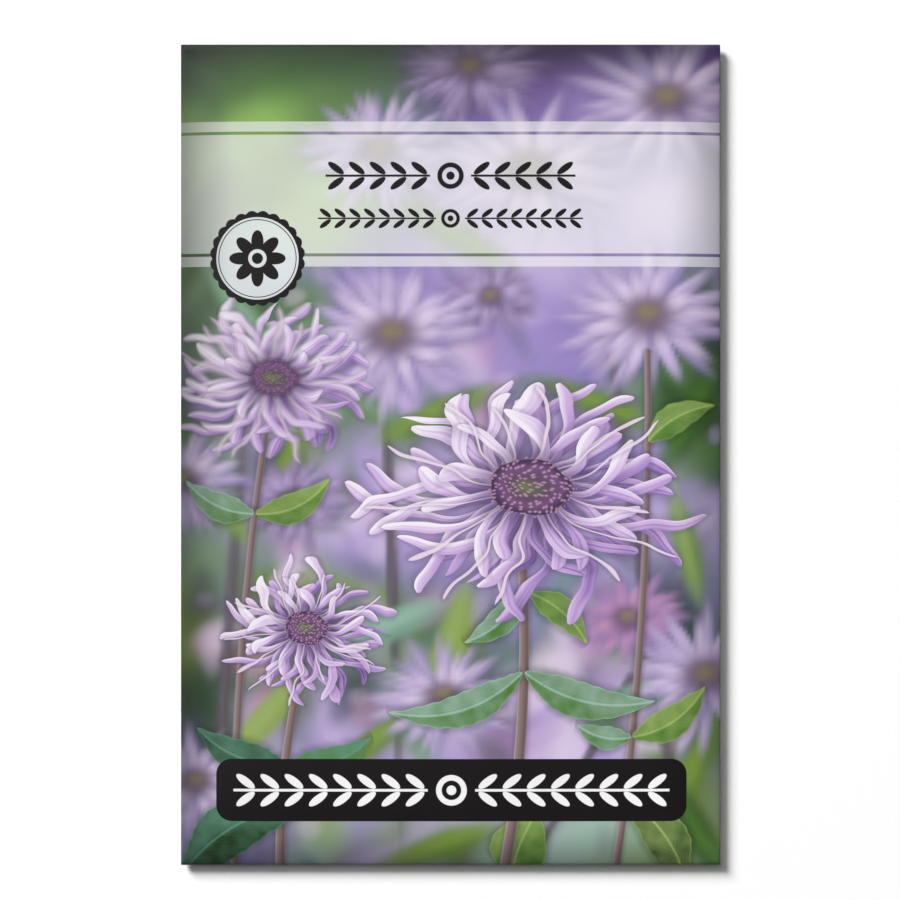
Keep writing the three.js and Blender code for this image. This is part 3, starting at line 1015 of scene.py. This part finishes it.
def lay_daisy(part, under, centre, size, squash, seed, softness):
    scale = (1 / size, 1 / (size * squash), 1.0)
    return part.place(
        tree, Under=under, Spot=spot, Centre=(*centre, 0.0), Scale=scale, Seed=seed, Softness=softness,
    )


for part, *sizes in (
    (stem, (25, -65), 86.5, 82, 0.6, -0.02, 0.25),
    (leaf, (27.6, -43), 35, 14, 2.6, -0.12, 0.2, leaf_green, yellow_green),
    (leaf, (27.6, -43), 166, 9, 1.9, 0.12, 0.2, leaf_green, blue_green),
    (leaf, (30, 2), 28, 12, 2.3, 0.1, 0.25, leaf_green, yellow_green),
    (stem, (-33, -65), 85.5, 76, 0.6, 0.02, 0.25),
    (leaf, (-29.8, -9), 154, 12, 2.3, 0.12, 0.2, leaf_green, blue_green),
    (leaf, (-29.8, -9), 26, 13, 2.4, -0.14, 0.2, leaf_green, yellow_green),
    (daisy, (-27, 11), 0.86, 0.82, 4.0, 0.75),
    (leaf, (-25, -47), 158, 15, 2.8, 0.12, 0.12, deep_green, sea_green),
    (leaf, (-25, -47), 18, 14, 2.5, -0.14, 0.1, leaf_green, sea_green),
    (stem, (-26, -65), 84, 34, 0.75, 0.03, 0.1),
    (daisy, (-22, -27), 0.74, 0.86, 1.0, 0.09),
    (leaf, (-41, -64), 28, 23, 4.2, 0.12, 0.1, deep_green, sea_green),
    (leaf, (36, -65), 128, 17, 3.4, -0.1, 0.15, deep_green, yellow_green),
    (leaf, (9, -65), 68, 12, 4.4, 0.05, 0.08, leaf_green, yellow_green),
    (stem, (8, -65), 87, 52, 0.9, -0.03, 0.06),
    (leaf, (11.1, -33), 196, 22, 2.7, 0.14, 0.06, leaf_green, blue_green),
    (leaf, (11.1, -33), -12, 21, 2.9, -0.12, 0.06, leaf_green, blue_green),
    (leaf, (11, -21), 220, 12, 2.2, 0.1, 0.06, leaf_green, blue_green),
    (leaf, (12, -21), -42, 12, 2.3, 0.1, 0.06, leaf_green, yellow_green),
    (daisy, (12, -6), 1.42, 0.74, 7.0, 0.04),
):
    lay_part = lay_daisy if part is daisy else lay
    colour = lay_part(part, colour, *sizes)
nearer_flowers.close(colour)

# The bands, with a hairline near each edge and two garlands
over_picture = Group("Bands, seal and panel", ["Colour"], Under=violet, Spot=origin)
colour, spot = over_picture.fields
x, y, _ = parts(spot)
black = ink(20, 16, 18)
white = ink(252, 252, 252)
banner_y, banner_half, banner_white = 39.71, 11.04, 0.56
hairline_out, hairline_half, hairline_black = 9.27, 0.23, 0.27
seal_centre, seal_reach, seal_white = (-29.4, 29.91, 0.0), 6.85, 0.75
seal_spot = vectors("SUBTRACT", spot, seal_centre)
seal_x, seal_y, _ = parts(seal_spot)
seal_radius = vectors("LENGTH", seal_spot)
in_seal = below(seal_radius, seal_reach, 0.05)
from_banner = abs(y - banner_y)
hairline = below(abs(from_banner - hairline_out), hairline_half) * (1 - in_seal)
in_banner = below(from_banner, banner_half)
colour = mix(colour, white, (in_banner - hairline) * (1 - in_seal) * banner_white)
colour = mix(colour, ink(246, 250, 255), in_seal * seal_white)
lines = hairline * hairline_black + lay_garland(x, y, 42.5, 0.82, 15.6)
lines = lines + lay_garland(x, y, 36.0, 1.16, 23.4)
colour = mix(colour, black, lines)

# The seal, with a scalloped rim, a thin ring, and a flower of eight petals about its eye
scallop_count, scallop_depth, scallop_foot, rim_start = 24, 0.38, 6.9, 6.28
petal_count, petal_depth, petal_foot, petal_start = 8, 1.9, 2.4, 1.4
eye_reach, ring_reach, ring_half = 0.85, 5.9, 0.07
seal_turn = maths("ARCTAN2", seal_y, seal_x)
scallop_wave = abs(maths("SINE", seal_turn * (scallop_count / 2)))
scallops = maths("MULTIPLY_ADD", scallop_wave, scallop_depth, scallop_foot)
seal_ink = above(seal_radius, rim_start) * below(seal_radius - scallops, 0.0, 0.05)
petal_wave = abs(maths("COSINE", seal_turn * (petal_count / 2)))
petals = maths("MULTIPLY_ADD", petal_wave, petal_depth, petal_foot)
in_petals = below(seal_radius - petals, 0.0, 0.05)
seal_ink = seal_ink + in_petals * above(seal_radius, petal_start, 0.05)
seal_ink = seal_ink + below(seal_radius, eye_reach, 0.05) + band(seal_radius, ring_reach, ring_half)
colour = mix(colour, black, seal_ink)

# The panel, with rounded corners and a white garland
panel_middle, panel_half, panel_corner, panel_white = (0.14, -51.05), (35.83, 4.77), 2.38, 0.93
panel_x, panel_y = (
    maths("MAXIMUM", abs(place - middle) - (half - panel_corner), 0.0)
    for place, middle, half in zip((x, y), panel_middle, panel_half)
)
panel_out = maths("SQRT", panel_x * panel_x + panel_y * panel_y) - panel_corner
colour = mix(colour, black, below(panel_out, 0.0))
panel_line = lay_garland(x - panel_middle[0], y, panel_middle[1], 0.705, 23.4)
colour = mix(colour, white, panel_line * panel_white)

# Painted shade: the colour is darkened towards the edges of the front, like shade on rounded edges,
# the most at the left and above, to even out the lamp's light there. It fades more slowly from the sides
# than from the ends.
half_width, half_height = packet_width / 2, packet_height / 2
edge_margin, edge_shade_depth, left_painted_shade, top_painted_shade = 7.5, 0.4, 0.5, 0.6
from_side = 30.8 - abs(x) * 0.7
from_edge = maths("MINIMUM", from_side, half_height - abs(y))
nearness = within(1 - from_edge / edge_margin)
sideways = 1 + (x / half_width) ** 7.0 * left_painted_shade
lengthways = 1 - (abs(y) / half_height) ** 8.0 * maths("SIGN", y) * top_painted_shade
# The painted edge shade, which scales the colour down near the edges
painted_edge_shade = (1 - edge_shade_depth * nearness**1.4) ** 2.2 * sideways * lengthways
shaded = add_node("ShaderNodeVectorMath", [colour], operation="SCALE")
feed(shaded.inputs["Scale"], painted_edge_shade)
over_picture.close(Field(shaded.outputs["Vector"]))

# A faint tooth of fibres under the ink, shared by all of the sheet's materials
relief = Group("Paper relief", ["Height"], Spot=origin, Fibres=0.3)
spot, fibres = relief.fields
fine, _ = noise(spot, 2.6, 2.0)
broad, _ = noise(spot, 0.16)
relief.close(maths("MULTIPLY_ADD", fine, fibres, broad * 2.0))


def emboss(surface, depth):
    """Bumps of that depth in millimetres under the shader's shine, and the socket for their height."""
    bump = surface.id_data.nodes.new("ShaderNodeBump")
    bump.inputs["Distance"].default_value = depth * mm
    feed(surface.inputs["Normal"], Field(bump.outputs["Normal"]))
    return bump.inputs["Height"]


def sheet_finish(name, roughness, specular):
    """A finish of the sheet: its shader, and the place on the flat sheet in millimetres."""
    finish, surface = new_finish(name, {"Roughness": roughness, "Specular IOR Level": specular})
    envelope_mesh.materials.append(finish)
    flat_place = finish.node_tree.nodes.new("ShaderNodeUVMap")
    flat_place.uv_map = "Sheet"
    return surface, vectors("MULTIPLY", Field(flat_place.outputs["UV"]), (1 / mm, 1 / mm, 0.0))


def ink_sheet(surface, spot, colour, fibres):
    """Lays the colour on a finish of the sheet, over the tooth of its fibres."""
    feed(emboss(surface, 0.02), relief.place(spot.tree, Spot=spot, Fibres=fibres))
    feed(surface.inputs["Base Color"], colour)


def print_front(name, *layers):
    """A print of the picture's ground with the layers over it."""
    surface, spot = sheet_finish(name, 0.5, 0.25)
    ground_layer = spot.tree.nodes.new("ShaderNodeVertexColor")
    ground_layer.layer_name = "ground"
    colour = Field(ground_layer.outputs["Color"])
    for layer in layers:
        colour = layer.place(spot.tree, Under=colour, Spot=spot)
    ink_sheet(surface, spot, colour, 0.3)


print_front("printed_front", nearer_flowers, over_picture)

# The printed back
# The same coated sheet with little ink: a tinted heading with a garland, a frame, ruled lines to
# write on and two rows of boxes for the months. The flaps carry the heading's tint.
from_front_middle = 82.6
flap_start = 63.3
heading_y, heading_half, heading_half_height = 36.0, 35.0, 4.2
frame_y, frame_half, frame_half_height, frame_line = -2.5, 36.5, 44.2, 0.16
writing_y, writing_half, writing_half_height, line_pitch = 10.0, 31.0, 17.4, 5.6
box_y, box_field_half, box_field_half_height = -26.0, 30.0, 8.0
box_pitch, box_half = (10, 8), (4.4, 3.2)
surface, spot = sheet_finish("printed_back", 0.5, 0.35)
x, y, _ = parts(spot)
x = x + from_front_middle
paper_ink, tint, rule_ink = ink(250, 248, 244), ink(206, 190, 216), ink(96, 116, 84)
colour = mix(paper_ink, tint, above(abs(y), flap_start, 0.1))
heading = band(y, heading_y, heading_half_height) * band(x, 0.0, heading_half)
colour = mix(colour, tint, heading)
colour = mix(colour, rule_ink * 0.6, lay_garland(x, y, heading_y, 0.9, 23.4))
frame_out = maths("MAXIMUM", abs(x) - frame_half, abs(y - frame_y) - frame_half_height)
colour = mix(colour, rule_ink, below(abs(frame_out), frame_line))


def from_cell_middle(place, pitch):
    """How far a place is from the middle of its cell in a row of cells."""
    return abs(maths("FRACT", place / pitch) - 0.5) * pitch


ruled = below(from_cell_middle(y + 10.0, line_pitch), 0.09, 0.03)
writing = ruled * band(y, writing_y, writing_half_height) * band(x, 0.0, writing_half)
colour = mix(colour, ink(120, 112, 130), writing * 0.8)

# The boxes, of which those of the sowing months are tinted
across_boxes, up_boxes = x + box_field_half, y - (box_y - box_field_half_height)
box_out = maths(
    "MAXIMUM",
    from_cell_middle(across_boxes, box_pitch[0]) - box_half[0],
    from_cell_middle(up_boxes, box_pitch[1]) - box_half[1],
)
box_field = band(x, 0.0, box_field_half) * band(y, box_y, box_field_half_height)
month = maths("FLOOR", across_boxes / box_pitch[0]) + maths("FLOOR", up_boxes / box_pitch[1]) * 6
box_ink = mix(ink(232, 230, 224), ink(160, 186, 132), band(month, 8.5, 1.6, 0.1))
colour = mix(colour, box_ink, below(box_out, 0.0) * box_field)
colour = mix(colour, rule_ink, below(abs(box_out), 0.09, 0.03) * box_field)
ink_sheet(surface, spot, colour, 0.4)

# The sheet's bare side and its cut edges
# Uncoated, a little warmer and duller than the printed side, with fibres in it that show.
surface, spot = sheet_finish("bare_paper", 0.85, 0.2)
cloud, _ = noise(vectors("MULTIPLY", spot, (1.0, 0.35, 0.0)), 1.4, 3.0)
ink_sheet(surface, spot, mix(ink(240, 236, 226), ink(252, 250, 244), cloud), 1.0)
print_front("printed_front_above", over_picture)

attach(envelope, "root")
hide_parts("envelope")

# The glue
# Thin lines of adhesive between the layers of paper, put on wet and pressed flat, now dry. They
# keep the shapes of the solids and get a slightly yellow, half-clear look with small bubbles.
glue_finish, surface = new_finish("dried_glue", {"Coat Weight": 0.3})
place = Field(glue_finish.node_tree.nodes.new("ShaderNodeTexCoord").outputs["Object"])
cloud, _ = noise(place, 700, 3.0)
bubble = smooth(0.26, 0.16, cells(place, 1600))
glue_colour = mix(ink(214, 192, 142), ink(240, 226, 188), cloud)
feed(surface.inputs["Base Color"], mix(glue_colour, ink(250, 244, 226), bubble * 0.6))
feed(surface.inputs["Roughness"], maths("MULTIPLY_ADD", cloud, 0.3, 0.22))
feed(emboss(surface, 0.03), cloud - bubble)
for name in ("seam_glue", "top_flap_glue", "bottom_flap_glue"):
    for glue_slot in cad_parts[name].material_slots:
        glue_slot.material = glue_finish

# The seeds
# A pinch of small dry nutlets, loose in the packet's lower half in three rough layers, thickest
# in the middle. Each is a plump drop, a little different in size, lean and tone from the next.
seed_length, seed_width, seed_thickness = 1.9, 1.05, 0.9
seed_rings, seed_sides = 7, 8
seed_spacing, seed_shift = 1.72, 0.15
layer_spread = (1.0, 0.82, 0.56)
lowest_layer, layer_step = 0.7, 0.52
rows_each_way = 12

seed_points = [(-0.5, 0.0, 0.0)]
for ring in range(1, seed_rings):
    angle = math.pi * ring / seed_rings
    girth = math.sin(angle) * (1 - 0.28 * math.cos(angle) ** 3 - 0.18 * math.cos(angle)) / 2
    for side in range(seed_sides):
        around = math.tau * side / seed_sides
        seed_points.append((-math.cos(angle) / 2, girth * math.cos(around), girth * math.sin(around)))
seed_points.append((0.5, 0.0, 0.0))
seed_faces = []
last = len(seed_points) - 1
for side in range(seed_sides):
    after = (side + 1) % seed_sides
    seed_faces.append((0, 1 + after, 1 + side))
    seed_faces.append((last, last - seed_sides + side, last - seed_sides + after))
    for ring in range(seed_rings - 2):
        low = 1 + ring * seed_sides
        seed_faces.append((low + side, low + after, low + after + seed_sides, low + side + seed_sides))
one_seed_mesh = bpy.data.meshes.new("one_seed")
seed_size = np.array([seed_length, seed_width, seed_thickness]) * mm
one_seed_mesh.from_pydata((np.array(seed_points) * seed_size).tolist(), [], seed_faces)
one_seed_mesh.polygons.foreach_set("use_smooth", np.ones(len(seed_faces), bool))
one_seed = bpy.data.objects.new("one_seed", one_seed_mesh)

draw = np.random.default_rng(5)
spots = []
places_each_way = range(-rows_each_way, rows_each_way + 1)
for layer, spread in enumerate(layer_spread):
    height = lowest_layer + layer * layer_step
    for row in places_each_way:
        for column in places_each_way:
            shift_x = draw.uniform(-seed_shift, seed_shift)
            shift_y = draw.uniform(-seed_shift, seed_shift)
            x = (column + 0.5 * (row % 2) + layer / 3) * seed_spacing + shift_x
            y = (row + layer / 3) * seed_spacing * math.sqrt(0.75) + shift_y
            out = math.hypot(x / heap_along_x, y / heap_along_y)
            if out < spread * draw.uniform(0.86, 1.0):
                spots.append((heap_x + x, heap_y + y, height + draw.uniform(0, 0.1)))
spots_mesh = bpy.data.meshes.new("seeds")
spots_mesh.from_pydata((np.array(spots) * mm).tolist(), [], [])
heap = put("seeds_loose", spots_mesh)

seed_coat, surface = new_finish("seed_coat", {})
place = Field(seed_coat.node_tree.nodes.new("ShaderNodeTexCoord").outputs["Object"])
tone = seed_coat.node_tree.nodes.new("ShaderNodeAttribute")
tone.attribute_name = "tone"
freckle, _ = noise(place, 2600, 2.0)
cloud, _ = noise(place, 900, 2.0)
brown = shades(
    Field(tone.outputs["Fac"]) * 0.7 + cloud * 0.3,
    (0.0, ink(66, 44, 30)), (0.5, ink(104, 74, 48)), (1.0, ink(150, 116, 76)),
)
feed(surface.inputs["Base Color"], mix(brown, ink(44, 30, 22), smooth(0.56, 0.68, freckle, 0.0, 0.7)))
feed(surface.inputs["Roughness"], maths("MULTIPLY_ADD", freckle, 0.3, 0.42))
feed(emboss(surface, 0.05), freckle)

scatter = bpy.data.node_groups.new("Scatter seeds", "GeometryNodeTree")
scatter_inputs = {}
for title, kind in (
    ("Geometry", "Geometry"), ("Grain", "Object"), ("Lean", "Float"), ("Smallest", "Float"),
    ("Largest", "Float"), ("Seed", "Int"), ("Coat", "Material"),
):
    socket = scatter.interface.new_socket(title, in_out="INPUT", socket_type="NodeSocket" + kind)
    scatter_inputs[title] = socket.identifier
scatter.interface.new_socket("Geometry", in_out="OUTPUT", socket_type="NodeSocketGeometry")
entry = scatter.nodes.new("NodeGroupInput")
fields = [Field(entry.outputs[title]) for title in scatter_inputs]
points, grain, lean, smallest, largest, seed, coat = fields


def scatter_node(kind, **values):
    """A node of the tree with its inputs fed by name."""
    node = scatter.nodes.new(kind)
    for title, value in values.items():
        feed(node.inputs[title], value)
    return node


def random_number(low, high, shift):
    """A random number for each point, its seed moved on by the shift."""
    node = scatter_node("FunctionNodeRandomValue", Seed=seed + shift)
    feed(node.inputs[2], low)
    feed(node.inputs[3], high)
    return Field(node.outputs[1])


lean_back = lean * -1
tilt = scatter_node(
    "ShaderNodeCombineXYZ",
    X=random_number(lean_back, lean, 1),
    Y=random_number(lean_back, lean, 2),
    Z=random_number(0.0, math.tau, 3),
)
instances = scatter_node(
    "GeometryNodeInstanceOnPoints",
    Points=points,
    Instance=Field(scatter_node("GeometryNodeObjectInfo", Object=grain).outputs["Geometry"]),
    Rotation=Field(tilt.outputs[0]),
    Scale=random_number(smallest, largest, 4),
)
keep_tone = scatter_node(
    "GeometryNodeStoreNamedAttribute",
    Geometry=Field(instances.outputs[0]), Name="tone", Value=random_number(0.0, 1.0, 5),
)
keep_tone.domain = "INSTANCE"
realize = scatter_node("GeometryNodeRealizeInstances", Geometry=Field(keep_tone.outputs["Geometry"]))
set_coat = scatter_node(
    "GeometryNodeSetMaterial", Geometry=Field(realize.outputs["Geometry"]), Material=coat
)
scatter_node("NodeGroupOutput", Geometry=Field(set_coat.outputs["Geometry"]))

heaping = heap.modifiers.new("scatter", "NODES")
heaping.node_group = scatter
for title, value in (
    ("Grain", one_seed), ("Lean", 0.4), ("Smallest", 0.84), ("Largest", 1.06),
    ("Seed", 3), ("Coat", seed_coat),
):
    heaping[scatter_inputs[title]] = value
evaluated = heap.evaluated_get(bpy.context.evaluated_depsgraph_get())
heap_mesh = bpy.data.meshes.new_from_object(evaluated)
heap_mesh.name = "seeds_loose"
heap.modifiers.remove(heaping)
heap.data = heap_mesh
bpy.data.objects.remove(one_seed)
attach(heap, "root")
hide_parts("seeds")
